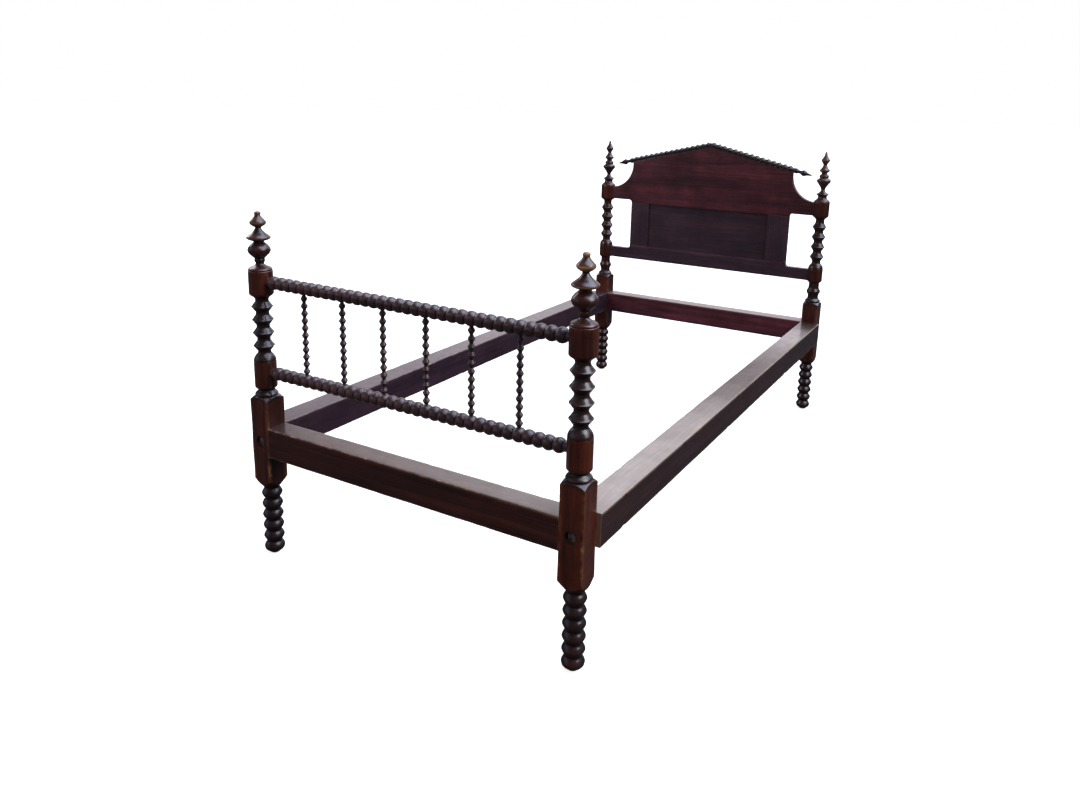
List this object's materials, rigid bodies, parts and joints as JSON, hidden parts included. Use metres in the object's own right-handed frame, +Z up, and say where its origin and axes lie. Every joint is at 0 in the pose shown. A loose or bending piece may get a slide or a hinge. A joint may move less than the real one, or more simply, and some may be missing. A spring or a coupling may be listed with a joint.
{
  "type": "spool-turned single bedstead",
  "caption": "Bedstead with spool-turned corner posts and finials, bobbin-turned foot rails with slim bead spindles, a gabled panel headboard and a bolted rail frame.",
  "frame": {"origin": "on the floor, at the middle of the bed's footprint", "axes": "+Y from the foot end to the head end, +Z up, +X to the right of someone who stands at the foot and looks at the headboard"},
  "size_m": [0.98, 1.959, 1.025],
  "materials": {
    "turned_wood": "dark mahogany stain under worn satin varnish",
    "bobbin_wood": "dark mahogany stain, worn on the crowns of the beads",
    "rail_wood": "dark stain with a dull sheen and scuffed edges",
    "board_wood": "reddish mahogany stain under satin varnish",
    "bolt_iron": "dull black forged iron"
  },
  "bodies": {
    "root": {"foot_post_left": "turned_wood", "foot_post_right": "turned_wood", "head_post_left": "turned_wood", "head_post_right": "turned_wood", "foot_finial_left": "turned_wood", "foot_finial_right": "turned_wood", "head_finial_left": "turned_wood", "head_finial_right": "turned_wood", "foot_top_rail": "bobbin_wood", "foot_lower_rail": "bobbin_wood", "spindle_1": "bobbin_wood", "spindle_2": "bobbin_wood", "spindle_3": "bobbin_wood", "spindle_4": "bobbin_wood", "spindle_5": "bobbin_wood", "spindle_6": "bobbin_wood", "foot_end_rail": "rail_wood", "head_end_rail": "rail_wood", "side_rail_left": "rail_wood", "side_rail_right": "rail_wood", "gable_board": "board_wood", "stile_left": "board_wood", "stile_right": "board_wood", "lower_board": "board_wood", "headboard_panel": "board_wood", "gable_trim_left": "bobbin_wood", "gable_trim_right": "bobbin_wood", "bed_bolt_foot_left": "bolt_iron", "bed_bolt_foot_right": "bolt_iron", "bed_bolt_head_left": "bolt_iron", "bed_bolt_head_right": "bolt_iron", "bolt_nut_foot_left": "bolt_iron", "bolt_nut_foot_right": "bolt_iron", "bolt_nut_head_left": "bolt_iron", "bolt_nut_head_right": "bolt_iron"}
  },
  "joints": []
}
